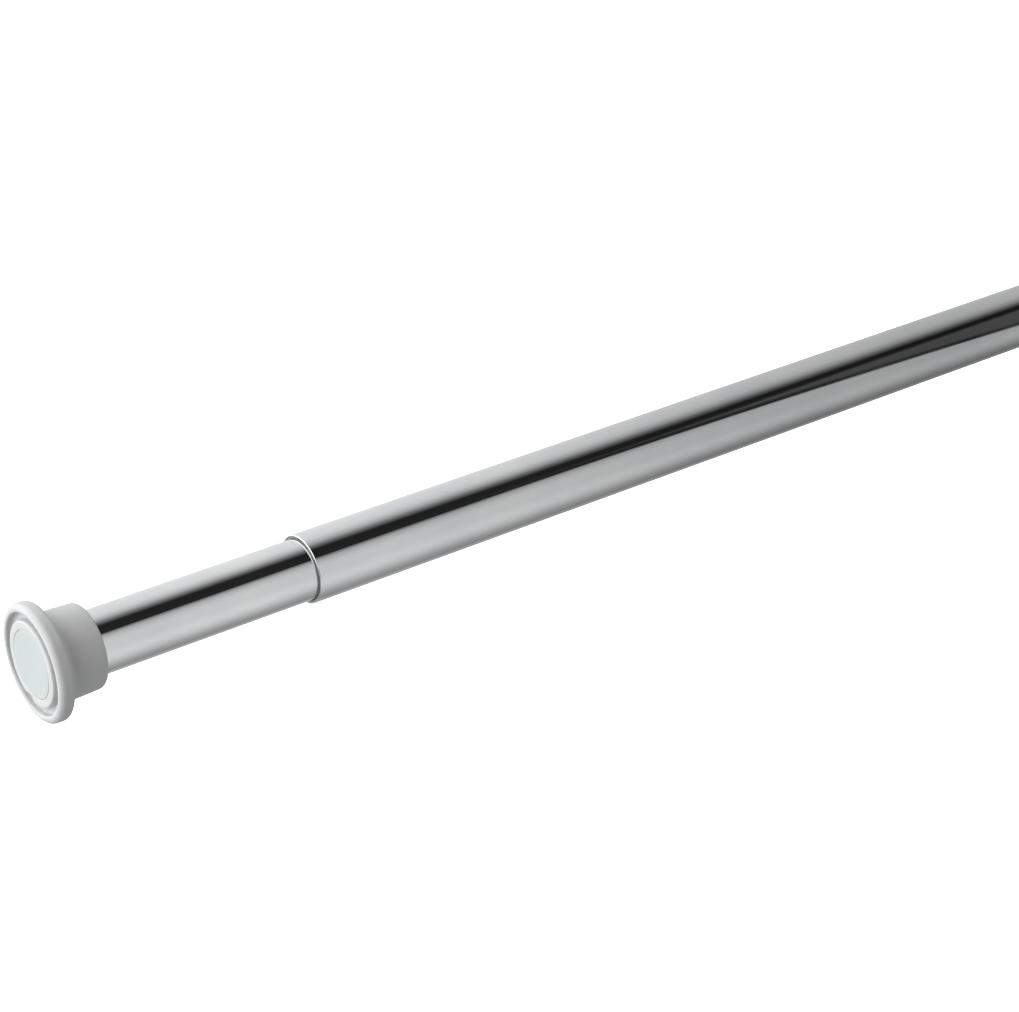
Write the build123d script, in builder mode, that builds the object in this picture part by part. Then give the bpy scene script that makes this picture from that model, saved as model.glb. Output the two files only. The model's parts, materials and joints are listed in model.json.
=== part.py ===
from build123d import *
import math
import os

# Telescopic tension rod: two chromed tubes, a rubber foot on each end, a spring that wedges the
# rod between two walls, and a twist lock that sets its length.
#
# Origin: the centre of the fixed foot's wall face. +X runs along the rod to the sliding foot, +Z is up.
# Millimetres. The twist lock is modelled locked, and the spring is modelled at its installed length.

# ---------------------------------------------------------------- driving dimensions

# tubes
OUTER_R = 14.0
INNER_R = 12.5
TUBE_WALL = 0.6
TUBE_EDGE = 0.2
OUTER_LENGTH = 635.0
INNER_LENGTH = 580.0
EXPOSED = 115.4              # outer tube's mouth to the sliding foot's wall face
TUBE_SEAT = 6.0              # a tube's end, behind its foot's wall face

# fits
RUNNING = 0.1                # radial clearance of a sliding fit in a tube
SHAFT_RUNNING = 0.05         # radial clearance of a shaft in its hole
END_PLAY = 0.3               # axial clearance beside a turning piece

# rubber foot, measured from its wall face
FOOT_R = 23.0
FOOT_LENGTH = 23.0
FLANGE_BACK = 6.0
RIM_EDGE = 2.2
RIM_LAND = 0.3
RIM_INNER_EDGE = 0.8
GUTTER_DEPTH = 2.6
FLANGE_EDGE = 1.6
SKIRT_GROWTH = 4.8           # skirt radius over the tube radius, at its root
SKIRT_TAPER = 0.7
SKIRT_EDGE = 1.8
WEB_START = 3.0
WEB_HOLE_R = 6.0

# hard insert in the foot's face, and the soft disc set into it
PAD_R = 16.8
PAD_EDGE = 0.8
DISC_R = 13.3
DISC_THICK = 0.8
DISC_EDGE = 0.3
NOTCH_CORNER = (-1.8, -13.6)  # its inner, upper corner, as (y, z)
NOTCH_TURN = 9.7
NOTCH_SIZE = (9.0, 4.5)
NOTCH_DEPTH = 3.2            # right through the ring, so that a thin blade can lift the insert
STEM_R = 5.0
STEM_END = 19.0
STEM_BEAD = 0.4
STEM_BEAD_AT = 16.0

# plug that holds the insert's stem in the tube's end
CORE_LIP_START = 5.0
CORE_END = 25.0
CORE_RIB_DEPTH = 1.2
CORE_RIBS = 3

# liner in the outer tube's mouth
BUSH_RECESS = 0.5
BUSH_LENGTH = 75.0

# guide in the inner tube's hidden end
COLLAR_THICK = 3.0
COLLAR_EDGE = 0.5
GUIDE_DEPTH = 20.0
GUIDE_RIVET_AT = 10.0
RIVET_R = 1.6
RIVET_LENGTH = 4.5
RIVET_SINK = 0.15            # the rivets' flat ends stay inside the tube's round surface

# plunger and spring
PLUNGER_R = 4.0
PLUNGER_FLAT = 3.0           # distance from the axis to the D's flat
PLUNGER_HEAD_END = 31.0
SEAT_FLANGE = 3.0
SEAT_SPIGOT = 5.0
SEAT_FLANGE_R = 10.5
SEAT_SPIGOT_R = 6.6
CLIP_THICK = 1.0
CLIP_R = 5.8
SPRING_R = 8.0               # mean radius of the coil
SPRING_WIRE_R = 1.0
SPRING_LENGTH = 110.0
SPRING_TURNS = 14.0
STOP_LENGTH = 12.0
STOP_SPIGOT = 8.0

# twist lock, from the inner tube's end back towards the fixed foot
CAM_GAP = 43.0               # guide collar and spring stroke, with a little to spare
CAM_HUB = 10.0
CAM_HUB_R = 12.2
CAM_EDGE = 0.6
JOURNAL_LENGTH = 20.0
JOURNAL_R = 7.5
END_PLATE_THICK = 3.0
STUB_R = 6.0
STUB_LENGTH = 11.0
ROLLER_R = 11.9
LOCK_GAP = 0.02
LOCK_TURN = 150.0
GRIP_RING_WIDTH = 3.0
GRIP_RING_DEPTH = 1.2
GRIP_RING_SPACING = 8.0
RELIEF_SLOT = 1.6
DRAG_RING_LENGTH = 7.4
DRAG_SLOTS = 6
DRAG_SLOT_DEPTH = 3.0
DRAG_SLOT_WIDTH = 2.0
WASHER_R = 9.0
WASHER_THICK = 1.5
SCREW_HEAD_R = 4.0
SCREW_HEAD = 2.6
SCREW_SHANK_R = 1.9
SCREW_DEPTH = 14.0
SCREW_SLOT = 1.0
PLUNGER_SOCKET = 14.0
PLUNGER_PIN_R = 1.25

# ---------------------------------------------------------------- places along the rod

OUTER_BORE_R = OUTER_R - TUBE_WALL
INNER_BORE_R = INNER_R - TUBE_WALL
MOUTH_X = TUBE_SEAT + OUTER_LENGTH
FACE_X = MOUTH_X + EXPOSED
INNER_TUBE_END_X = FACE_X - TUBE_SEAT
GUIDE_X = INNER_TUBE_END_X - INNER_LENGTH
SEAT_X = GUIDE_X + GUIDE_DEPTH
SPRING_X = SEAT_X + SEAT_FLANGE
STOP_X = SPRING_X + SPRING_LENGTH
HUB_X = GUIDE_X - CAM_GAP
JOURNAL_X = HUB_X - CAM_HUB
PLATE_X = JOURNAL_X - JOURNAL_LENGTH
STUB_X = PLATE_X - STUB_LENGTH
DRAG_X = STUB_X + END_PLAY
WASHER_X = STUB_X - WASHER_THICK
SCREW_X = WASHER_X - SCREW_HEAD

# The roller's bore and the journal are off centre by the same amount. Turned by LOCK_TURN from
# the free position, they push the roller out until LOCK_GAP is left in the outer tube's bore.
ROLLER_CLEARANCE = OUTER_BORE_R - ROLLER_R
HALF_TURN = math.radians(LOCK_TURN / 2)
ECCENTRICITY = (ROLLER_CLEARANCE - LOCK_GAP) / (2 * math.sin(HALF_TURN))
LOCK_ANGLE = math.radians(LOCK_TURN)
JOURNAL_Y = ECCENTRICITY * math.sin(LOCK_ANGLE)
JOURNAL_Z = -ECCENTRICITY * math.cos(LOCK_ANGLE)
ROLLER_Y = JOURNAL_Y
ROLLER_Z = JOURNAL_Z + ECCENTRICITY


def across(x, y=0.0, z=0.0):
    """Plane across the rod at x, with its local axes along +Y and +Z."""
    return Plane(origin=(x, y, z), x_dir=(0, 1, 0), z_dir=(1, 0, 0))


def end_plane(wall_x, inward):
    """Plane through the rod's axis. Local x runs into the rod from a wall face, local y is the radius."""
    return Plane(origin=(wall_x, 0, 0), x_dir=(inward, 0, 0), z_dir=(0, -inward, 0))


def finish(part, name):
    part.label = name
    export_step(part, f"parts/{name}.step")


os.makedirs("parts", exist_ok=True)


# ---------------------------------------------------------------- tubes

def make_tube(radius, start_x, length):
    """Seamed steel tube with softened edges at both ends."""
    with BuildPart() as tube:
        with BuildSketch(across(start_x)):
            Circle(radius)
            Circle(radius - TUBE_WALL, mode=Mode.SUBTRACT)
        extrude(amount=length)
        outer_edges = tube.edges().filter_by(GeomType.CIRCLE).sort_by(lambda e: e.radius)[-2:]
        fillet(outer_edges, TUBE_EDGE)
    return tube.part


def make_rivets(x):
    """Two rivets on opposite sides of the inner tube, just below its surface."""
    with BuildPart() as rivets:
        for side in (1, -1):
            head_y = side * (INNER_R - RIVET_SINK)
            with BuildSketch(Plane(origin=(x, head_y, 0), x_dir=(1, 0, 0), z_dir=(0, -side, 0))):
                Circle(RIVET_R)
            extrude(amount=RIVET_LENGTH)
    return rivets.part


guide_rivets = make_rivets(GUIDE_X + GUIDE_RIVET_AT)
stop_rivets = make_rivets(STOP_X + STOP_LENGTH / 2)
finish(guide_rivets, "guide_rivets")
finish(stop_rivets, "stop_rivets")

finish(make_tube(OUTER_R, TUBE_SEAT, OUTER_LENGTH), "outer_tube")

with BuildPart() as inner_tube:
    add(make_tube(INNER_R, GUIDE_X, INNER_LENGTH))
    for rivet_x in (GUIDE_X + GUIDE_RIVET_AT, STOP_X + STOP_LENGTH / 2):
        with BuildSketch(Plane(origin=(rivet_x, -OUTER_R, 0), x_dir=(1, 0, 0), z_dir=(0, 1, 0))):
            Circle(RIVET_R)
        extrude(amount=2 * OUTER_R, mode=Mode.SUBTRACT)
finish(inner_tube.part, "inner_tube")

with BuildPart() as mouth_bush:
    with BuildSketch(across(MOUTH_X - BUSH_RECESS - BUSH_LENGTH)):
        Circle(OUTER_BORE_R)
        Circle(INNER_R + RUNNING, mode=Mode.SUBTRACT)
    extrude(amount=BUSH_LENGTH)
finish(mouth_bush.part, "mouth_bush")


# ---------------------------------------------------------------- feet

def make_foot(tube_r, wall_x, inward):
    """Rubber foot: rounded rim, ring-shaped gutter, pocket for the insert, flared skirt on the tube."""
    skirt_root = tube_r + SKIRT_GROWTH
    skirt_tip = skirt_root - SKIRT_TAPER
    land_out = FOOT_R - RIM_EDGE
    land_in = land_out - RIM_LAND
    gutter_out = land_in - RIM_INNER_EDGE
    gutter_floor = gutter_out - RIM_INNER_EDGE
    flare_start = FOOT_R - FLANGE_EDGE
    flare = flare_start - skirt_root
    flare_end = FLANGE_BACK + flare
    with BuildPart() as foot:
        with BuildSketch(end_plane(wall_x, inward)):
            with BuildLine():
                Line((0, land_in), (0, land_out))
                RadiusArc((0, land_out), (RIM_EDGE, FOOT_R), RIM_EDGE)
                Line((RIM_EDGE, FOOT_R), (FLANGE_BACK - FLANGE_EDGE, FOOT_R))
                RadiusArc((FLANGE_BACK - FLANGE_EDGE, FOOT_R), (FLANGE_BACK, flare_start), FLANGE_EDGE)
                RadiusArc((FLANGE_BACK, flare_start), (flare_end, skirt_root), -flare)
                Line((flare_end, skirt_root), (FOOT_LENGTH - SKIRT_EDGE, skirt_tip))
                RadiusArc(
                    (FOOT_LENGTH - SKIRT_EDGE, skirt_tip),
                    (FOOT_LENGTH, skirt_tip - SKIRT_EDGE),
                    SKIRT_EDGE,
                )
                Polyline(
                    (FOOT_LENGTH, skirt_tip - SKIRT_EDGE),
                    (FOOT_LENGTH, tube_r),
                    (CORE_LIP_START, tube_r),
                    (CORE_LIP_START, WEB_HOLE_R),
                    (WEB_START, WEB_HOLE_R),
                    (WEB_START, PAD_R),
                    (GUTTER_DEPTH, PAD_R),
                    (GUTTER_DEPTH, gutter_floor),
                )
                RadiusArc(
                    (GUTTER_DEPTH, gutter_floor),
                    (GUTTER_DEPTH - RIM_INNER_EDGE, gutter_out),
                    -RIM_INNER_EDGE,
                )
                Line((GUTTER_DEPTH - RIM_INNER_EDGE, gutter_out), (RIM_INNER_EDGE, gutter_out))
                RadiusArc((RIM_INNER_EDGE, gutter_out), (0, land_in), RIM_INNER_EDGE)
            make_face()
        revolve(axis=Axis.X)
    return foot.part


def notch_outline():
    """Rectangle of the notch, in a sketch across the rod."""
    with BuildSketch(mode=Mode.PRIVATE) as outline:
        with Locations(NOTCH_CORNER):
            Rectangle(*NOTCH_SIZE, rotation=NOTCH_TURN, align=(Align.MAX, Align.MAX))
    return outline.sketch


def make_pad(wall_x, inward):
    """Hard insert: rounded ring round a recess for the soft disc, a notch, and a stem with a snap bead."""
    with BuildPart() as pad:
        with BuildSketch(end_plane(wall_x, inward)):
            with BuildLine():
                Polyline(
                    (DISC_THICK, 0),
                    (DISC_THICK, DISC_R),
                    (DISC_EDGE, DISC_R),
                )
                RadiusArc((DISC_EDGE, DISC_R), (0, DISC_R + DISC_EDGE), DISC_EDGE)
                Line((0, DISC_R + DISC_EDGE), (0, PAD_R - PAD_EDGE))
                RadiusArc((0, PAD_R - PAD_EDGE), (PAD_EDGE, PAD_R), PAD_EDGE)
                Polyline(
                    (PAD_EDGE, PAD_R),
                    (WEB_START, PAD_R),
                    (WEB_START, STEM_R),
                    (STEM_BEAD_AT - STEM_BEAD, STEM_R),
                    (STEM_BEAD_AT, STEM_R + STEM_BEAD),
                    (STEM_BEAD_AT + STEM_BEAD, STEM_R),
                    (STEM_END, STEM_R),
                    (STEM_END, 0),
                    (DISC_THICK, 0),
                )
            make_face()
        revolve(axis=Axis.X)
        with BuildSketch(across(wall_x)):
            add(notch_outline())
        extrude(amount=inward * NOTCH_DEPTH, mode=Mode.SUBTRACT)
    return pad.part


def make_grip_disc(wall_x, inward):
    """Thin soft disc that touches the wall, cut back at the insert's notch."""
    with BuildPart() as disc:
        with BuildSketch(end_plane(wall_x, inward)):
            with BuildLine():
                Line((0, 0), (0, DISC_R - DISC_EDGE))
                RadiusArc((0, DISC_R - DISC_EDGE), (DISC_EDGE, DISC_R), DISC_EDGE)
                Polyline((DISC_EDGE, DISC_R), (DISC_THICK, DISC_R), (DISC_THICK, 0), (0, 0))
            make_face()
        revolve(axis=Axis.X)
        with BuildSketch(across(wall_x)):
            add(notch_outline())
        extrude(amount=inward * NOTCH_DEPTH, mode=Mode.SUBTRACT)
    return disc.part


def make_core(tube_r, wall_x, inward):
    """Ribbed plug pressed into a tube's end, with a lip that covers the tube's edge."""
    bore_r = tube_r - TUBE_WALL
    rib_pitch = (CORE_END - TUBE_SEAT) / (2 * CORE_RIBS + 1)
    with BuildPart() as core:
        with BuildSketch(end_plane(wall_x, inward)):
            with BuildLine():
                Polyline(
                    (CORE_LIP_START, STEM_R),
                    (CORE_LIP_START, tube_r),
                    (TUBE_SEAT, tube_r),
                    (TUBE_SEAT, bore_r),
                    (CORE_END, bore_r),
                    (CORE_END, STEM_R),
                    (STEM_BEAD_AT + STEM_BEAD, STEM_R),
                    (STEM_BEAD_AT, STEM_R + STEM_BEAD),
                    (STEM_BEAD_AT - STEM_BEAD, STEM_R),
                    (CORE_LIP_START, STEM_R),
                )
            make_face()
            for rib in range(CORE_RIBS):
                groove_start = TUBE_SEAT + (2 * rib + 1) * rib_pitch
                with Locations((groove_start + rib_pitch / 2, bore_r)):
                    Rectangle(rib_pitch, 2 * CORE_RIB_DEPTH, mode=Mode.SUBTRACT)
        revolve(axis=Axis.X)
    return core.part


ROD_ENDS = {"fixed": (OUTER_R, 0.0, 1), "sliding": (INNER_R, FACE_X, -1)}
for end, (tube_r, wall_x, inward) in ROD_ENDS.items():
    finish(make_foot(tube_r, wall_x, inward), f"{end}_foot")
    finish(make_pad(wall_x, inward), f"{end}_pad")
    finish(make_grip_disc(wall_x, inward), f"{end}_grip_disc")
    finish(make_core(tube_r, wall_x, inward), f"{end}_core")


# ---------------------------------------------------------------- guide and stop in the inner tube

def d_profile(clearance=0.0):
    """D-shaped section of the plunger rod, in the sketch that is being built."""
    radius = PLUNGER_R + clearance
    flat = PLUNGER_FLAT + clearance
    Circle(radius)
    with Locations((0, flat + radius)):
        Rectangle(2 * radius, 2 * radius, mode=Mode.SUBTRACT)


with BuildSketch() as plunger_section:
    d_profile()

with BuildSketch() as plunger_hole:
    d_profile(SHAFT_RUNNING)


with BuildPart() as inner_guide:
    with BuildSketch(across(GUIDE_X - COLLAR_THICK)):
        Circle(OUTER_BORE_R - RUNNING)
    extrude(amount=COLLAR_THICK)
    chamfer(inner_guide.edges().filter_by(GeomType.CIRCLE).sort_by(Axis.X)[0], COLLAR_EDGE)
    with BuildSketch(across(GUIDE_X)):
        Circle(INNER_BORE_R)
    extrude(amount=GUIDE_DEPTH)
    with BuildSketch(across(GUIDE_X - COLLAR_THICK)):
        add(plunger_hole.sketch)
    extrude(amount=COLLAR_THICK + GUIDE_DEPTH, mode=Mode.SUBTRACT)
    add(guide_rivets, mode=Mode.SUBTRACT)
finish(inner_guide.part, "inner_guide")

with BuildPart() as spring_stop:
    with BuildSketch(across(STOP_X)):
        Circle(INNER_BORE_R)
    extrude(amount=STOP_LENGTH)
    with BuildSketch(across(STOP_X - STOP_SPIGOT)):
        Circle(SEAT_SPIGOT_R)
    extrude(amount=STOP_SPIGOT)
    chamfer(spring_stop.edges().filter_by(GeomType.CIRCLE).sort_by(Axis.X)[0], SPRING_WIRE_R)
    add(stop_rivets, mode=Mode.SUBTRACT)
finish(spring_stop.part, "spring_stop")


# ---------------------------------------------------------------- plunger and spring

with BuildPart() as plunger_rod:
    with BuildSketch(across(HUB_X - PLUNGER_SOCKET)):
        add(plunger_section.sketch)
    extrude(amount=GUIDE_X + PLUNGER_HEAD_END - HUB_X + PLUNGER_SOCKET)
    with BuildSketch(across(SPRING_X + SEAT_SPIGOT)):
        Circle(PLUNGER_R)
        Circle(PLUNGER_FLAT, mode=Mode.SUBTRACT)
    extrude(amount=CLIP_THICK, mode=Mode.SUBTRACT)
    with BuildSketch(Plane(origin=(HUB_X - CAM_HUB / 2, 0, -PLUNGER_R), z_dir=(0, 0, 1))):
        Circle(PLUNGER_PIN_R)
    extrude(amount=2 * PLUNGER_R, mode=Mode.SUBTRACT)
finish(plunger_rod.part, "plunger_rod")

with BuildPart() as spring_seat:
    with BuildSketch(across(SEAT_X)):
        Circle(SEAT_FLANGE_R)
    extrude(amount=SEAT_FLANGE)
    with BuildSketch(across(SPRING_X)):
        Circle(SEAT_SPIGOT_R)
    extrude(amount=SEAT_SPIGOT)
    with BuildSketch(across(SEAT_X)):
        add(plunger_section.sketch)
    extrude(amount=SEAT_FLANGE + SEAT_SPIGOT, mode=Mode.SUBTRACT)
finish(spring_seat.part, "spring_seat")

with BuildPart() as seat_clip:
    with BuildSketch(across(SPRING_X + SEAT_SPIGOT)):
        Circle(CLIP_R)
        Circle(PLUNGER_FLAT, mode=Mode.SUBTRACT)
        with Locations((CLIP_R, 0)):
            Rectangle(2 * CLIP_R, PLUNGER_FLAT, mode=Mode.SUBTRACT)
    extrude(amount=CLIP_THICK)
finish(seat_clip.part, "seat_clip")

with BuildPart() as compression_spring:
    coil_length = SPRING_LENGTH - 2 * SPRING_WIRE_R
    coil_start = SPRING_X + SPRING_WIRE_R
    with BuildLine():
        coil = Helix(
            pitch=coil_length / SPRING_TURNS,
            height=coil_length,
            radius=SPRING_R,
            center=(coil_start, 0, 0),
            direction=(1, 0, 0),
        )
    with BuildSketch(Plane(origin=coil @ 0, z_dir=coil % 0)):
        Circle(SPRING_WIRE_R)
    sweep(is_frenet=True)
finish(compression_spring.part, "compression_spring")


# ---------------------------------------------------------------- twist lock

with BuildPart() as cam_shaft:
    with BuildSketch(across(JOURNAL_X)):
        Circle(CAM_HUB_R)
    extrude(amount=CAM_HUB)
    chamfer(cam_shaft.edges().filter_by(GeomType.CIRCLE), CAM_EDGE)
    with BuildSketch(across(PLATE_X, JOURNAL_Y, JOURNAL_Z)):
        Circle(JOURNAL_R)
    extrude(amount=JOURNAL_LENGTH)
    with BuildSketch(across(STUB_X)):
        Circle(STUB_R)
    extrude(amount=STUB_LENGTH)
    with BuildSketch(across(HUB_X - PLUNGER_SOCKET)):
        add(plunger_section.sketch)
    extrude(amount=PLUNGER_SOCKET, mode=Mode.SUBTRACT)
    with BuildSketch(across(STUB_X)):
        Circle(SCREW_SHANK_R)
    extrude(amount=SCREW_DEPTH, mode=Mode.SUBTRACT)
    with BuildSketch(Plane(origin=(HUB_X - CAM_HUB / 2, 0, -CAM_HUB_R), z_dir=(0, 0, 1))):
        Circle(PLUNGER_PIN_R)
    extrude(amount=2 * CAM_HUB_R, mode=Mode.SUBTRACT)
finish(cam_shaft.part, "cam_shaft")

with BuildPart() as plunger_pin:
    with BuildSketch(Plane(origin=(HUB_X - CAM_HUB / 2, 0, -CAM_HUB_R + RUNNING), z_dir=(0, 0, 1))):
        Circle(PLUNGER_PIN_R)
    extrude(amount=2 * (CAM_HUB_R - RUNNING))
finish(plunger_pin.part, "plunger_pin")

with BuildPart() as cam_end_plate:
    with BuildSketch(across(PLATE_X - END_PLATE_THICK)):
        Circle(CAM_HUB_R)
        Circle(STUB_R, mode=Mode.SUBTRACT)
    extrude(amount=END_PLATE_THICK)
    rim = cam_end_plate.edges().filter_by(GeomType.CIRCLE).sort_by(lambda e: e.radius)[-2:]
    chamfer(rim, CAM_EDGE)
finish(cam_end_plate.part, "cam_end_plate")

with BuildPart() as cam_roller:
    with BuildSketch(across(PLATE_X + END_PLAY, ROLLER_Y, ROLLER_Z)):
        Circle(ROLLER_R)
        with Locations((JOURNAL_Y - ROLLER_Y, JOURNAL_Z - ROLLER_Z)):
            Circle(JOURNAL_R + SHAFT_RUNNING, mode=Mode.SUBTRACT)
        with Locations((0, -ROLLER_R)):
            Rectangle(RELIEF_SLOT, 2 * (ROLLER_R - JOURNAL_R), mode=Mode.SUBTRACT)
    extrude(amount=JOURNAL_LENGTH - 2 * END_PLAY)
    for side in (-1, 1):
        ring_x = PLATE_X + (JOURNAL_LENGTH + side * GRIP_RING_SPACING - GRIP_RING_WIDTH) / 2
        with BuildSketch(across(ring_x, ROLLER_Y, ROLLER_Z)):
            Circle(ROLLER_R)
            Circle(ROLLER_R - GRIP_RING_DEPTH, mode=Mode.SUBTRACT)
        extrude(amount=GRIP_RING_WIDTH, mode=Mode.SUBTRACT)
finish(cam_roller.part, "cam_roller")

with BuildPart() as roller_grip_rings:
    for side in (-1, 1):
        ring_x = PLATE_X + (JOURNAL_LENGTH + side * GRIP_RING_SPACING - GRIP_RING_WIDTH) / 2
        with BuildSketch(across(ring_x, ROLLER_Y, ROLLER_Z)):
            Circle(ROLLER_R)
            Circle(ROLLER_R - GRIP_RING_DEPTH, mode=Mode.SUBTRACT)
        extrude(amount=GRIP_RING_WIDTH)
finish(roller_grip_rings.part, "roller_grip_rings")

with BuildPart() as drag_ring:
    with BuildSketch(across(DRAG_X)):
        Circle(OUTER_BORE_R - RUNNING)
        Circle(STUB_R + SHAFT_RUNNING, mode=Mode.SUBTRACT)
    extrude(amount=DRAG_RING_LENGTH)
    with BuildSketch(across(DRAG_X)):
        with PolarLocations(OUTER_BORE_R - DRAG_SLOT_DEPTH / 2, DRAG_SLOTS):
            Rectangle(DRAG_SLOT_DEPTH, DRAG_SLOT_WIDTH)
    extrude(amount=DRAG_RING_LENGTH, mode=Mode.SUBTRACT)
finish(drag_ring.part, "drag_ring")

with BuildPart() as retaining_washer:
    with BuildSketch(across(WASHER_X)):
        Circle(WASHER_R)
        Circle(SCREW_SHANK_R, mode=Mode.SUBTRACT)
    extrude(amount=WASHER_THICK)
finish(retaining_washer.part, "retaining_washer")

with BuildPart() as cam_screw:
    with BuildSketch(across(SCREW_X)):
        Circle(SCREW_HEAD_R)
    extrude(amount=SCREW_HEAD)
    fillet(cam_screw.edges().filter_by(GeomType.CIRCLE).sort_by(Axis.X)[0], SCREW_HEAD / 2)
    with BuildSketch(across(WASHER_X)):
        Circle(SCREW_SHANK_R)
    extrude(amount=WASHER_THICK + SCREW_DEPTH)
    with BuildSketch(across(SCREW_X)):
        for turn in (0, 90):
            Rectangle(SCREW_HEAD_R, SCREW_SLOT, rotation=turn)
    extrude(amount=SCREW_HEAD / 2, mode=Mode.SUBTRACT)
finish(cam_screw.part, "cam_screw")
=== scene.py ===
import json
import math
import bmesh
import bpy
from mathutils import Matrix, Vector


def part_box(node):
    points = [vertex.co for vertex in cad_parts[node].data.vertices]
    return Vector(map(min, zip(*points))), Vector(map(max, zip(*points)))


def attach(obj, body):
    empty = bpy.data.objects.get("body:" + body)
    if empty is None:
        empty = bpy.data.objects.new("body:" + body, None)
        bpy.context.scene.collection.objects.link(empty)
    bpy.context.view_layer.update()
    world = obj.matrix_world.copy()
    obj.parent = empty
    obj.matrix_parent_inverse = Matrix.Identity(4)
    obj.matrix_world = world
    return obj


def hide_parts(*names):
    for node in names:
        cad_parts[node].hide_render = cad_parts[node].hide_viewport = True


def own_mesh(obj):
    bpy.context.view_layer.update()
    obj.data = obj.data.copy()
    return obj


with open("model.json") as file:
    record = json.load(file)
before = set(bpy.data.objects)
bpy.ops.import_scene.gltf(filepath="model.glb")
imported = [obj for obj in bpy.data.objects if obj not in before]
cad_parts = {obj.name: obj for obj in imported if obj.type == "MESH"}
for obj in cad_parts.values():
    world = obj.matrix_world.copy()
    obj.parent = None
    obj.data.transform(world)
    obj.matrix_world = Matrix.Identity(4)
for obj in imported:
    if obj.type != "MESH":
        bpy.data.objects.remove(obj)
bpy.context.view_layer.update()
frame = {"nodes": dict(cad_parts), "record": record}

# Telescopic tension rod. Metres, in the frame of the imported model: the rod runs along +X from the
# fixed foot's wall face at the origin to the sliding foot, and +Z is up.

MM = 0.001

# ---------------------------------------------------------------- places, from the frame


def span(node):
    """First and last x of a CAD node."""
    low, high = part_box(node)
    return low.x, high.x


def radius(node):
    """Largest distance of a CAD node's surface from the rod's axis."""
    return max(math.hypot(v.co.y, v.co.z) for v in frame["nodes"][node].data.vertices)


OUTER_START, MOUTH = span("outer_tube")
INNER_END, INNER_START = span("inner_tube")
OUTER_R = radius("outer_tube")
INNER_R = radius("inner_tube")
FOOT_R = radius("sliding_foot")
PAD_R = radius("sliding_pad")
FIXED_FACE = span("fixed_foot")[0]
SLIDING_FACE = span("sliding_foot")[1]
FOOT_LENGTH = span("fixed_foot")[1] - FIXED_FACE
DISC_R = radius("sliding_grip_disc")
BUSH_START, BUSH_END = span("mouth_bush")
SPRING_OUT = radius("compression_spring")
TUBE_WALL = 0.6 * MM
RUNNING = 0.1 * MM

# The coil stands between the seat's flange and the stop's shoulder.
SEAT_FLANGE = 3.0 * MM
STOP_LENGTH = 12.0 * MM
SPRING_START = span("spring_seat")[0] + SEAT_FLANGE
SPRING_END = span("spring_stop")[1] - STOP_LENGTH

# ---------------------------------------------------------------- lathe

TURN_STEPS = 360
ARC_STEPS = 7
SUPPORT = 0.25 * MM
ON_AXIS = 1e-7
LATHE_CREASE = math.radians(40)


def corner_arc(before, corner, after, fillet):
    """Points of the arc that rounds a corner of an outline."""
    u = (before - corner).normalized()
    v = (after - corner).normalized()
    opening = u.angle(v)
    reach = fillet / math.tan(opening / 2)
    centre = corner + (u + v).normalized() * (fillet / math.sin(opening / 2))
    first = corner + u * reach - centre
    last = corner + v * reach - centre
    sweep = first.angle_signed(last)
    points = []
    for step in range(ARC_STEPS + 1):
        turn = -sweep * step / ARC_STEPS
        x = first.x * math.cos(turn) - first.y * math.sin(turn)
        r = first.x * math.sin(turn) + first.y * math.cos(turn)
        points.append(centre + Vector((x, r)))
    return points


def rounded(corners):
    """Closed outline through corners, each (x, radius, fillet), with support points beside long runs."""
    places = [Vector(c[:2]) for c in corners]
    outline = []
    for i, (corner, spec) in enumerate(zip(places, corners)):
        after = places[(i + 1) % len(places)]
        if spec[2] > 0:
            outline += corner_arc(places[i - 1], corner, after, spec[2])
        else:
            outline.append(corner)
    supported = []
    for i, point in enumerate(outline):
        after = outline[(i + 1) % len(outline)]
        run = after - point
        supported.append(point)
        if run.length > 4 * SUPPORT and max(point.y, after.y) > SUPPORT:
            step = run.normalized() * SUPPORT
            supported += [point + step, after - step]
    return supported


def new_object(name, mesh):
    piece = bpy.data.objects.new(name, mesh)
    bpy.context.scene.collection.objects.link(piece)
    return piece


def smooth_object(name, shape, crease):
    """Smooth-shaded object made from a bmesh, with edges sharper than an angle kept sharp."""
    bmesh.ops.recalc_face_normals(shape, faces=shape.faces)
    mesh = bpy.data.meshes.new(name)
    shape.to_mesh(mesh)
    shape.free()
    mesh.shade_smooth()
    mesh.set_sharp_from_angle(angle=crease)
    return new_object(name, mesh)


def lathe(name, corners, bump=None):
    """Closed solid made by turning an outline about the rod's axis. bump(x, r, angle) moves the radius."""
    outline = rounded(corners)
    shape = bmesh.new()
    rings = []
    for point in outline:
        if point.y < ON_AXIS:
            rings.append([shape.verts.new((point.x, 0, 0))])
            continue
        ring = []
        for step in range(TURN_STEPS):
            angle = 2 * math.pi * step / TURN_STEPS
            r = point.y + (bump(point.x, point.y, angle) if bump else 0)
            ring.append(shape.verts.new((point.x, r * math.cos(angle), r * math.sin(angle))))
        rings.append(ring)
    for i, ring in enumerate(rings):
        other = rings[(i + 1) % len(rings)]
        if len(ring) == 1 and len(other) == 1:
            continue
        for step in range(TURN_STEPS):
            nxt = (step + 1) % TURN_STEPS
            a, b = ring[step % len(ring)], ring[nxt % len(ring)]
            c, d = other[nxt % len(other)], other[step % len(other)]
            shape.faces.new(list(dict.fromkeys((a, b, c, d))))
    return smooth_object(name, shape, LATHE_CREASE)


# ---------------------------------------------------------------- materials


def make_material(name):
    material = bpy.data.materials.new(name)
    material.use_nodes = True
    nodes = material.node_tree.nodes
    return material, nodes, material.node_tree.links, nodes["Principled BSDF"]


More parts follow.
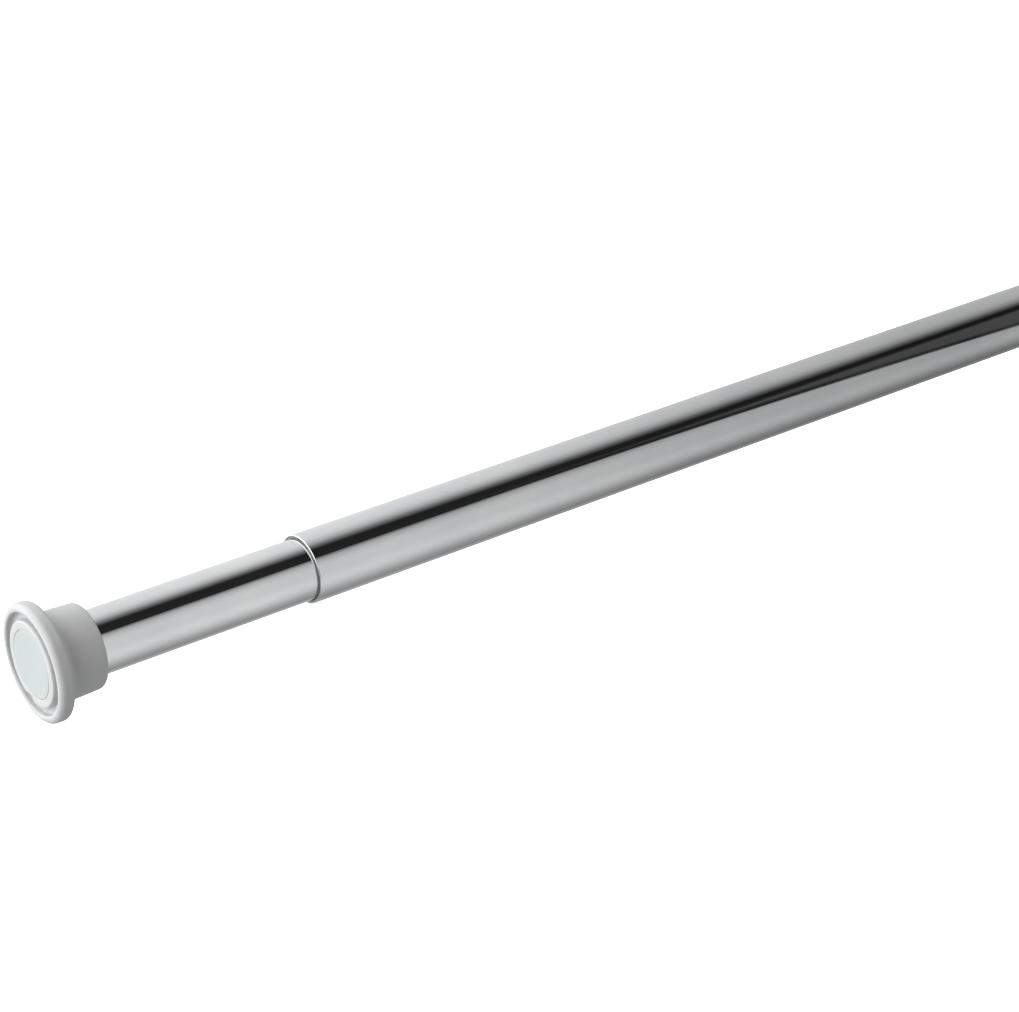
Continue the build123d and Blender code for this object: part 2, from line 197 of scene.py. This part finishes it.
def noise(nodes, links, scale, detail=4.0, stretch=(1, 1, 1)):
    """Noise in the object's own space, with a scale for each axis."""
    coordinates = nodes.new("ShaderNodeTexCoord")
    mapping = nodes.new("ShaderNodeMapping")
    mapping.inputs["Scale"].default_value = stretch
    texture = nodes.new("ShaderNodeTexNoise")
    texture.inputs["Scale"].default_value = scale
    texture.inputs["Detail"].default_value = detail
    links.new(coordinates.outputs["Object"], mapping.inputs["Vector"])
    links.new(mapping.outputs["Vector"], texture.inputs["Vector"])
    return texture.outputs["Fac"]


def spread(nodes, links, value, low, high):
    """Noise value, which mostly lies between 0.3 and 0.7, spread over a range."""
    node = nodes.new("ShaderNodeMapRange")
    node.inputs["From Min"].default_value = 0.3
    node.inputs["From Max"].default_value = 0.7
    node.inputs["To Min"].default_value = low
    node.inputs["To Max"].default_value = high
    links.new(value, node.inputs["Value"])
    return node.outputs["Result"]


def tint(nodes, links, value, dark, light):
    """Colour between two tones, chosen by a noise value."""
    mix = nodes.new("ShaderNodeMix")
    mix.data_type = "RGBA"
    mix.inputs["A"].default_value = (*dark, 1)
    mix.inputs["B"].default_value = (*light, 1)
    links.new(spread(nodes, links, value, 0, 1), mix.inputs["Factor"])
    return mix.outputs["Result"]


def relief(nodes, links, layers):
    """Chain of bumps, each (height value, strength, depth in metres)."""
    normal = None
    for value, strength, depth in layers:
        bump = nodes.new("ShaderNodeBump")
        bump.inputs["Strength"].default_value = strength
        bump.inputs["Distance"].default_value = depth
        links.new(value, bump.inputs["Height"])
        if normal:
            links.new(normal, bump.inputs["Normal"])
        normal = bump.outputs["Normal"]
    return normal


def chrome_material():
    """Bright chrome plate over drawn steel tube: faint lines along the tube, faint haze."""
    material, nodes, links, shader = make_material("chrome")
    shader.inputs["Metallic"].default_value = 1.0
    lines = noise(nodes, links, scale=1.0, detail=3.0, stretch=(4, 2600, 2600))
    haze = noise(nodes, links, scale=34.0, detail=5.0)
    ripple = noise(nodes, links, scale=12.0, detail=1.0, stretch=(1, 3, 3))
    colour = tint(nodes, links, haze, dark=(0.70, 0.71, 0.72), light=(0.76, 0.765, 0.77))
    surface = relief(nodes, links, [(ripple, 0.25, 0.1 * MM), (lines, 0.06, 0.02 * MM)])
    links.new(colour, shader.inputs["Base Color"])
    links.new(spread(nodes, links, haze, 0.03, 0.07), shader.inputs["Roughness"])
    links.new(surface, shader.inputs["Normal"])
    return material


def rubber_material():
    """Pale grey moulded rubber: satin, with a fine grain and soft mottling."""
    material, nodes, links, shader = make_material("foot_rubber")
    shader.inputs["Specular IOR Level"].default_value = 0.45
    mottle = noise(nodes, links, scale=160.0, detail=6.0)
    grain = noise(nodes, links, scale=2400.0, detail=3.0)
    colour = tint(nodes, links, mottle, dark=(0.51, 0.515, 0.52), light=(0.55, 0.555, 0.56))
    surface = relief(nodes, links, [(mottle, 0.2, 0.1 * MM), (grain, 0.25, 0.03 * MM)])
    links.new(colour, shader.inputs["Base Color"])
    links.new(spread(nodes, links, mottle, 0.42, 0.56), shader.inputs["Roughness"])
    links.new(surface, shader.inputs["Normal"])
    return material


def pad_material(name, dark, light):
    """Smooth pale moulding with a faint sheen."""
    material, nodes, links, shader = make_material(name)
    mottle = noise(nodes, links, scale=90.0, detail=4.0)
    grain = noise(nodes, links, scale=3000.0, detail=2.0)
    surface = relief(nodes, links, [(mottle, 0.15, 0.08 * MM), (grain, 0.2, 0.015 * MM)])
    links.new(tint(nodes, links, mottle, dark, light), shader.inputs["Base Color"])
    links.new(spread(nodes, links, mottle, 0.30, 0.42), shader.inputs["Roughness"])
    links.new(surface, shader.inputs["Normal"])
    return material


def plastic_material(name, dark, light, roughness):
    """Moulded plastic with flow marks and a fine grain."""
    material, nodes, links, shader = make_material(name)
    flow = noise(nodes, links, scale=120.0, detail=5.0, stretch=(0.4, 1, 1))
    grain = noise(nodes, links, scale=1800.0, detail=3.0)
    links.new(tint(nodes, links, flow, dark, light), shader.inputs["Base Color"])
    links.new(spread(nodes, links, flow, roughness - 0.06, roughness + 0.08), shader.inputs["Roughness"])
    links.new(relief(nodes, links, [(grain, 0.3, 0.03 * MM)]), shader.inputs["Normal"])
    return material


def steel_material(name, dark, light, roughness):
    """Plated or drawn steel with lines along the rod."""
    material, nodes, links, shader = make_material(name)
    shader.inputs["Metallic"].default_value = 1.0
    lines = noise(nodes, links, scale=1.0, detail=4.0, stretch=(60, 1800, 1800))
    cloud = noise(nodes, links, scale=200.0, detail=4.0)
    links.new(tint(nodes, links, cloud, dark, light), shader.inputs["Base Color"])
    links.new(spread(nodes, links, lines, roughness - 0.08, roughness + 0.10), shader.inputs["Roughness"])
    links.new(relief(nodes, links, [(lines, 0.2, 0.03 * MM)]), shader.inputs["Normal"])
    return material


MATERIALS = {
    "chrome": chrome_material(),
    "foot_rubber": rubber_material(),
    "pad_plastic": pad_material("pad_plastic", (0.53, 0.53, 0.535), (0.56, 0.56, 0.565)),
    "grip_disc": pad_material("grip_disc", (0.455, 0.505, 0.495), (0.48, 0.53, 0.52)),
    "bush_plastic": plastic_material("bush_plastic", (0.26, 0.265, 0.27), (0.31, 0.315, 0.32), 0.45),
    "white_nylon": plastic_material("white_nylon", (0.66, 0.65, 0.60), (0.74, 0.73, 0.68), 0.42),
    "grey_acetal": plastic_material("grey_acetal", (0.045, 0.047, 0.05), (0.07, 0.072, 0.075), 0.38),
    "grip_rubber": plastic_material("grip_rubber", (0.018, 0.018, 0.018), (0.03, 0.03, 0.03), 0.75),
    "zinc_steel": steel_material("zinc_steel", (0.50, 0.51, 0.53), (0.62, 0.62, 0.63), 0.34),
    "spring_steel": steel_material("spring_steel", (0.30, 0.30, 0.31), (0.40, 0.40, 0.41), 0.30),
}

for part in frame["record"]["subparts"]:
    data = frame["nodes"][part["node"]].data
    data.materials.clear()
    data.materials.append(MATERIALS[part["material_slot"]])


def place(piece, body, slot, *nodes):
    """Gives a piece its material, its body and the CAD nodes it stands for."""
    piece.data.materials.clear()
    piece.data.materials.append(MATERIALS[slot])
    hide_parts(*nodes)
    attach(piece, body)
    return piece


# ---------------------------------------------------------------- tubes

TUBE_EDGE = 0.27 * MM


def tube(name, first, last, outer_r):
    """Thin tube with rounded ends."""
    inner_r = outer_r - TUBE_WALL
    return lathe(name, [
        (first, outer_r, TUBE_EDGE),
        (last, outer_r, TUBE_EDGE),
        (last, inner_r, TUBE_EDGE),
        (first, inner_r, TUBE_EDGE),
    ])


place(tube("outer_tube_shell", OUTER_START, MOUTH, OUTER_R), "outer", "chrome", "outer_tube")
place(tube("inner_tube_shell", INNER_END, INNER_START, INNER_R), "inner", "chrome", "inner_tube")

# ---------------------------------------------------------------- feet

# One outline serves both feet, measured from the wall face. Only the tube and the skirt differ.
RIM_EDGE = 2.2 * MM
RIM_LAND = 0.3 * MM
FLANGE_BACK = 6.0 * MM
FLANGE_EDGE = 1.6 * MM
SKIRT_GROWTH = 4.8 * MM
SKIRT_TAPER = 0.7 * MM
SKIRT_EDGE = 1.8 * MM
GUTTER_DEPTH = 2.6 * MM
GUTTER_EDGE = 0.8 * MM
GUTTER_FILLET = 0.98 * GUTTER_EDGE
TUBE_LIP = 0.3 * MM
POCKET = 3.0 * MM
FLASH_ANGLES = (math.radians(-62), math.radians(118))
FLASH_HALF_WIDTH = math.radians(1.4)
FLASH_HEIGHT = 0.07 * MM
FLASH_INSET = 0.08 * MM


def flash(x, r, angle):
    """Thin line left where the two halves of the mould met. The foot's widest ring has none."""
    if r < OUTER_R + SKIRT_EDGE or r > FOOT_R - FLASH_INSET:
        return 0.0
    away = min(abs(math.remainder(angle - a, 2 * math.pi)) for a in FLASH_ANGLES)
    return FLASH_HEIGHT * max(0.0, 1 - away / FLASH_HALF_WIDTH)


def foot(name, wall, inward, tube_r):
    """Rubber foot with a rounded rim, a gutter round the insert, and a flared skirt."""
    root = tube_r + SKIRT_GROWTH
    tip = root - SKIRT_TAPER
    land_in = FOOT_R - RIM_EDGE - RIM_LAND - GUTTER_EDGE
    flare = FOOT_R - FLANGE_EDGE - root

    def at(depth):
        return wall + inward * depth

    return lathe(name, [
        (at(0), land_in, GUTTER_FILLET),
        (at(0), FOOT_R, RIM_EDGE),
        (at(FLANGE_BACK), FOOT_R, FLANGE_EDGE),
        (at(FLANGE_BACK), root, flare),
        (at(FOOT_LENGTH), tip, SKIRT_EDGE),
        (at(FOOT_LENGTH), tube_r, TUBE_LIP),
        (at(POCKET), tube_r, 0),
        (at(POCKET), PAD_R, 0),
        (at(GUTTER_DEPTH), PAD_R, 0),
        (at(GUTTER_DEPTH), land_in, GUTTER_FILLET),
    ], flash)


place(foot("fixed_foot_rubber", FIXED_FACE, 1, OUTER_R), "outer", "foot_rubber", "fixed_foot")
place(foot("sliding_foot_rubber", SLIDING_FACE, -1, INNER_R), "inner", "foot_rubber", "sliding_foot")

# ---------------------------------------------------------------- inserts

PAD_EDGE = 0.8 * MM
DISC_THICK = 0.8 * MM
DISC_EDGE = 0.4 * MM
STEM_R = 5.0 * MM
STEM_END = 19.0 * MM
STEM_EDGE = 0.6 * MM
STEM_BEAD = 0.4 * MM
STEM_BEAD_AT = 16.0 * MM
STEM_BEAD_EDGE = 0.2 * MM

# The notch is a box cut into the face. Its inner, upper corner and its size are (y, z), and its turn is
# about the rod.
NOTCH_CORNER = Vector((-1.8 * MM, -13.6 * MM))
NOTCH_TURN = math.radians(9.7)
NOTCH_SIZE = Vector((9.0 * MM, 4.5 * MM))
NOTCH_DEPTH = 3.2 * MM
NOTCH_EDGE = 0.25 * MM


def carve_notch(piece, wall):
    """Cuts the notch's box, with rounded edges, out of a piece on a foot's face."""
    shape = bmesh.new()
    bmesh.ops.create_cube(shape, size=1)
    bmesh.ops.scale(shape, vec=(2 * NOTCH_DEPTH, NOTCH_SIZE.x, NOTCH_SIZE.y), verts=shape.verts)
    bmesh.ops.bevel(shape, geom=shape.edges, offset=NOTCH_EDGE, segments=4, profile=0.5, affect="EDGES")
    bmesh.ops.recalc_face_normals(shape, faces=shape.faces)
    mesh = bpy.data.meshes.new("notch")
    shape.to_mesh(mesh)
    shape.free()
    cutter = new_object("notch", mesh)
    sine, cosine = math.sin(NOTCH_TURN), math.cos(NOTCH_TURN)
    half = NOTCH_SIZE / 2
    y = NOTCH_CORNER.x - half.x * cosine + half.y * sine
    z = NOTCH_CORNER.y - half.x * sine - half.y * cosine
    cutter.location = (wall, y, z)
    cutter.rotation_euler = (NOTCH_TURN, 0, 0)
    cut = piece.modifiers.new("notch", "BOOLEAN")
    cut.operation = "DIFFERENCE"
    cut.solver = "EXACT"
    cut.object = cutter
    bpy.context.view_layer.update()
    carved = piece.evaluated_get(bpy.context.evaluated_depsgraph_get())
    piece.data = bpy.data.meshes.new_from_object(carved)
    piece.modifiers.clear()
    bpy.data.objects.remove(cutter)
    return piece


def pad(name, wall, inward):
    """Hard insert: a rounded ring round the soft disc, and a stem with a snap bead."""

    def at(depth):
        return wall + inward * depth

    return carve_notch(lathe(name, [
        (at(DISC_THICK), 0, 0),
        (at(DISC_THICK), DISC_R, 0),
        (at(0), DISC_R, DISC_EDGE),
        (at(0), PAD_R, PAD_EDGE),
        (at(POCKET), PAD_R, 0),
        (at(POCKET), STEM_R, 0),
        (at(STEM_BEAD_AT - STEM_BEAD), STEM_R, 0),
        (at(STEM_BEAD_AT), STEM_R + STEM_BEAD, STEM_BEAD_EDGE),
        (at(STEM_BEAD_AT + STEM_BEAD), STEM_R, 0),
        (at(STEM_END), STEM_R, STEM_EDGE),
        (at(STEM_END), 0, 0),
    ]), wall)


def grip_disc(name, wall, inward):
    """Soft disc with a rounded edge, set in the insert."""

    def at(depth):
        return wall + inward * depth

    return carve_notch(lathe(name, [
        (at(0), 0, 0),
        (at(0), DISC_R, DISC_EDGE),
        (at(DISC_THICK), DISC_R, 0),
        (at(DISC_THICK), 0, 0),
    ]), wall)


place(pad("fixed_pad_ring", FIXED_FACE, 1), "outer", "pad_plastic", "fixed_pad")
place(pad("sliding_pad_ring", SLIDING_FACE, -1), "inner", "pad_plastic", "sliding_pad")
place(grip_disc("fixed_grip_face", FIXED_FACE, 1), "outer", "grip_disc", "fixed_grip_disc")
place(grip_disc("sliding_grip_face", SLIDING_FACE, -1), "inner", "grip_disc", "sliding_grip_disc")

# ---------------------------------------------------------------- mouth liner

BUSH_EDGE = 0.3 * MM

place(lathe("mouth_liner", [
    (BUSH_START, OUTER_R - TUBE_WALL, BUSH_EDGE),
    (BUSH_END, OUTER_R - TUBE_WALL, BUSH_EDGE),
    (BUSH_END, INNER_R + RUNNING, BUSH_EDGE),
    (BUSH_START, INNER_R + RUNNING, BUSH_EDGE),
]), "outer", "bush_plastic", "mouth_bush")

# ---------------------------------------------------------------- spring

WIRE_R = 1.0 * MM
COIL_R = SPRING_OUT - WIRE_R
COIL_TURNS = 14
CLOSED_TURNS = 1.5
TURN_POINTS = 40
WIRE_POINTS = 16
WIRE_CREASE = math.radians(60)


def coil_advance(turns):
    """How far along its length the coil has come after some turns. Its ends are closed."""
    open_turns = COIL_TURNS - 2 * CLOSED_TURNS
    closed_pitch = 2 * WIRE_R
    length = SPRING_END - SPRING_START - 2 * WIRE_R
    open_pitch = (length - 2 * CLOSED_TURNS * closed_pitch) / open_turns
    first = min(turns, CLOSED_TURNS) * closed_pitch
    middle = min(max(turns - CLOSED_TURNS, 0), open_turns) * open_pitch
    last = max(turns - CLOSED_TURNS - open_turns, 0) * closed_pitch
    return first + middle + last


def spring(name):
    """Compression coil of round wire with closed ends."""
    shape = bmesh.new()
    rings = []
    steps = COIL_TURNS * TURN_POINTS
    for step in range(steps + 1):
        angle = 2 * math.pi * step / TURN_POINTS
        x = SPRING_START + WIRE_R + coil_advance(step / TURN_POINTS)
        ring = []
        for i in range(WIRE_POINTS):
            turn = 2 * math.pi * i / WIRE_POINTS
            r = COIL_R + WIRE_R * math.cos(turn)
            spot = (x + WIRE_R * math.sin(turn), r * math.cos(angle), r * math.sin(angle))
            ring.append(shape.verts.new(spot))
        rings.append(ring)
    for ring, after in zip(rings, rings[1:]):
        for i in range(WIRE_POINTS):
            j = (i + 1) % WIRE_POINTS
            shape.faces.new((ring[i], ring[j], after[j], after[i]))
    shape.faces.new(rings[0])
    shape.faces.new(reversed(rings[-1]))
    return smooth_object(name, shape, WIRE_CREASE)


coil = place(spring("spring_coil"), "inner", "spring_steel", "compression_spring")
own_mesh(coil)

# ---------------------------------------------------------------- camera

# The near foot's face, seen from the camera: distances to the right, down and forward.
VIEW_AZIMUTH = math.radians(142.86)
VIEW_DOWN = math.radians(28.02)
FACE_RIGHT = -0.1724
FACE_DOWN = 0.0573
FACE_FORWARD = 0.8783
LENS = 86.13
SENSOR = 36
CLIP_START = 0.01

heading = Vector((-math.sin(VIEW_AZIMUTH), math.cos(VIEW_AZIMUTH), 0))
up = Vector((0, 0, 1))
forward = heading * math.cos(VIEW_DOWN) - up * math.sin(VIEW_DOWN)
right = heading.cross(up)
down = forward.cross(right)

camera_data = bpy.data.cameras.new("camera")
camera_data.lens = LENS
camera_data.sensor_width = SENSOR
camera_data.clip_start = CLIP_START
camera = bpy.data.objects.new("camera", camera_data)
bpy.context.scene.collection.objects.link(camera)
face = Vector((SLIDING_FACE, 0, 0))
camera.location = face - FACE_RIGHT * right - FACE_DOWN * down - FACE_FORWARD * forward
camera.rotation_euler = forward.to_track_quat("-Z", "Y").to_euler()
bpy.context.scene.camera = camera

# ---------------------------------------------------------------- studio

FLOOR_CENTRE = (0.4, 0, -0.8)
FLOOR_SIZE = 60.0
FLOOR_TONE = (0.86, 0.86, 0.86, 1)
FLOOR_ROUGHNESS = 0.9
FLOOR_GLOW = 0.75

bpy.ops.mesh.primitive_plane_add(size=FLOOR_SIZE, location=FLOOR_CENTRE)
floor = bpy.context.object
floor.name = "floor"
floor_material, _, _, floor_shader = make_material("floor")
floor_shader.inputs["Base Color"].default_value = FLOOR_TONE
floor_shader.inputs["Roughness"].default_value = FLOOR_ROUGHNESS
floor_shader.inputs["Emission Color"].default_value = (1, 1, 1, 1)
floor_shader.inputs["Emission Strength"].default_value = FLOOR_GLOW
floor.data.materials.append(floor_material)
floor.visible_glossy = False
floor.visible_diffuse = False

# Light from the studio's walls, by angle round the rod in degrees: 0 is level on the open (+Y) side, 90 is
# straight up. A long black flag hangs overhead, between about 50 and 90 degrees.
SKY = [
    (-180, 0.96),
    (-147, 0.85),
    (-125, 0.52),
    (-95, 0.32),
    (-73, 0.45),
    (-56, 0.64),
    (-41, 0.79),
    (-27, 0.84),
    (-2, 0.76),
    (22, 0.75),
    (33, 0.67),
    (44, 0.50),
    (51, 0.18),
    (57, 0.05),
    (63, 0.02),
    (82, 0.02),
    (93, 0.19),
    (107, 0.56),
    (122, 0.82),
    (140, 0.92),
    (180, 0.96),
]
# A bright cloth dome stands before the sliding foot, a little overhead, and a second one stands behind the
# fixed foot.
FRONT = Vector((0.78, -0.42, 0.47))
FRONT_START, FRONT_END, FRONT_LEVEL = 0.27, 0.72, 2.34
BACK_START, BACK_END, BACK_LEVEL = -0.80, -0.93, 1.2
# A START and an END are parts of the view's direction along the rod, unless they say otherwise. The walls
# are dimmer towards the fixed end, and darkest past the sliding foot on the open side.
FAR_START, FAR_END, FAR_LEVEL = -0.43, -0.70, 0.57
NEAR_START, NEAR_END, NEAR_LEVEL = -0.33, -0.05, 0.03
# The open side begins and ends at these parts of the direction across the rod. Low down, where the floor
# throws light back, only a share of that darkness is left.
OPEN_START, OPEN_END = -0.35, 0.15
FLOOR_START, FLOOR_END, FLOOR_SHARE = -0.65, 0.10, 0.10
# Towards the fixed end the flag hangs lower: its upper edge turns down, and its lower edge drops ever faster.
LIFT_START, LIFT_END, LIFT = -0.43, -0.70, math.radians(11)
LIFT_LOW, LIFT_HIGH = math.radians(60), math.radians(76)
DROP_START, DROP_FROM, DROP_RATE = -0.45, math.radians(50), math.radians(3200)
DROP_POWER = 3.0
DROP_HALF_EDGE = math.radians(4)
DROP_TOP, DROP_TOP_END = math.radians(66), math.radians(72)
DROP_DARK, DROP_GLOW = 0.02, 0.055
DROP_GLOW_START, DROP_GLOW_END = math.radians(9), math.radians(18)


def calc(nodes, links, operation, first, second):
    """Result of an operation on two values, each a number or a node's output."""
    node = nodes.new("ShaderNodeMath")
    node.operation = operation
    for socket, value in zip(node.inputs, (first, second)):
        if isinstance(value, float):
            socket.default_value = value
        else:
            links.new(value, socket)
    return node.outputs["Value"]


def ease(nodes, links, value, start, end, first, last):
    """Smooth change from first to last while a value goes from start to end, up or down."""
    node = nodes.new("ShaderNodeMapRange")
    node.interpolation_type = "SMOOTHSTEP"
    node.inputs["From Min"].default_value = min(start, end)
    node.inputs["From Max"].default_value = max(start, end)
    node.inputs["To Min"].default_value = first if start < end else last
    node.inputs["To Max"].default_value = last if start < end else first
    links.new(value, node.inputs["Value"])
    return node.outputs["Result"]


def sky_ramp(nodes, links, angle):
    """Light of the walls at an angle round the rod."""
    share = nodes.new("ShaderNodeMapRange")
    share.inputs["From Min"].default_value = -math.pi
    share.inputs["From Max"].default_value = math.pi
    links.new(angle, share.inputs["Value"])
    ramp = nodes.new("ShaderNodeValToRGB")
    stops = ramp.color_ramp.elements
    while len(stops) > 1:
        stops.remove(stops[-1])
    for i, (degrees, level) in enumerate(SKY):
        position = (degrees + 180) / 360
        stop = stops[0] if i == 0 else stops.new(position)
        stop.position = position
        stop.color = (level, level, level, 1)
    links.new(share.outputs["Result"], ramp.inputs["Fac"])
    return ramp.outputs["Color"]


def wall_light(nodes, links, direction, angle):
    """Light of the walls, with its changes along the rod."""
    along, across, upward = direction
    far_lift = ease(nodes, links, along, LIFT_START, LIFT_END, 0.0, LIFT)
    overhead = ease(nodes, links, angle, LIFT_LOW, LIFT_HIGH, 0.0, 1.0)
    lift = calc(nodes, links, "MULTIPLY", far_lift, overhead)
    walls = sky_ramp(nodes, links, calc(nodes, links, "ADD", angle, lift))
    far = ease(nodes, links, along, FAR_START, FAR_END, 1.0, FAR_LEVEL)
    near = ease(nodes, links, along, NEAR_START, NEAR_END, 0.0, 1.0 - NEAR_LEVEL)
    open_side = ease(nodes, links, across, OPEN_START, OPEN_END, 0.0, 1.0)
    off_floor = ease(nodes, links, upward, FLOOR_START, FLOOR_END, FLOOR_SHARE, 1.0)
    dimming = calc(nodes, links, "MULTIPLY", calc(nodes, links, "MULTIPLY", open_side, near), off_floor)
    left = calc(nodes, links, "SUBTRACT", 1.0, dimming)
    return calc(nodes, links, "MULTIPLY", calc(nodes, links, "MULTIPLY", walls, far), left)


def flag_cover(nodes, links, along, angle):
    """Most light that the hanging flag lets through: 1 beside it, near 0 behind it."""
    distance = calc(nodes, links, "MAXIMUM", calc(nodes, links, "SUBTRACT", DROP_START, along), 0.0)
    drop = calc(nodes, links, "MULTIPLY", calc(nodes, links, "POWER", distance, DROP_POWER), DROP_RATE)
    inside = calc(nodes, links, "SUBTRACT", calc(nodes, links, "ADD", angle, drop), DROP_FROM)
    flag = ease(nodes, links, inside, -DROP_HALF_EDGE, DROP_HALF_EDGE, 1.0, DROP_DARK)
    glow = ease(nodes, links, inside, DROP_GLOW_START, DROP_GLOW_END, 0.0, DROP_GLOW)
    above = ease(nodes, links, angle, DROP_TOP, DROP_TOP_END, 0.0, 1.0)
    return calc(nodes, links, "MAXIMUM", calc(nodes, links, "ADD", flag, glow), above)


def dome_light(nodes, links, vector, along):
    """Light of the two domes."""
    toward = nodes.new("ShaderNodeVectorMath")
    toward.operation = "DOT_PRODUCT"
    toward.inputs[1].default_value = FRONT
    links.new(vector, toward.inputs[0])
    front = ease(nodes, links, toward.outputs["Value"], FRONT_START, FRONT_END, 0.0, FRONT_LEVEL)
    back = ease(nodes, links, along, BACK_START, BACK_END, 0.0, BACK_LEVEL)
    return calc(nodes, links, "MAXIMUM", front, back)


def sky():
    """The studio, as a world that the object reflects and is lit by."""
    world = bpy.data.worlds.new("studio")
    bpy.context.scene.world = world
    world.use_nodes = True
    nodes, links = world.node_tree.nodes, world.node_tree.links
    vector = nodes.new("ShaderNodeTexCoord").outputs["Generated"]
    split = nodes.new("ShaderNodeSeparateXYZ")
    links.new(vector, split.inputs["Vector"])
    direction = [split.outputs[axis] for axis in "XYZ"]
    angle = calc(nodes, links, "ARCTAN2", split.outputs["Z"], split.outputs["Y"])

    walls = wall_light(nodes, links, direction, angle)
    cover = flag_cover(nodes, links, direction[0], angle)
    domes = dome_light(nodes, links, vector, direction[0])
    light = calc(nodes, links, "MAXIMUM", calc(nodes, links, "MINIMUM", walls, cover), domes)

    # The studio is only seen in the object. Behind it, the view is plain white.
    behind = nodes.new("ShaderNodeLightPath").outputs["Is Camera Ray"]
    links.new(calc(nodes, links, "MAXIMUM", light, behind), nodes["Background"].inputs["Color"])


sky()

bpy.context.scene.view_settings.view_transform = "Standard"
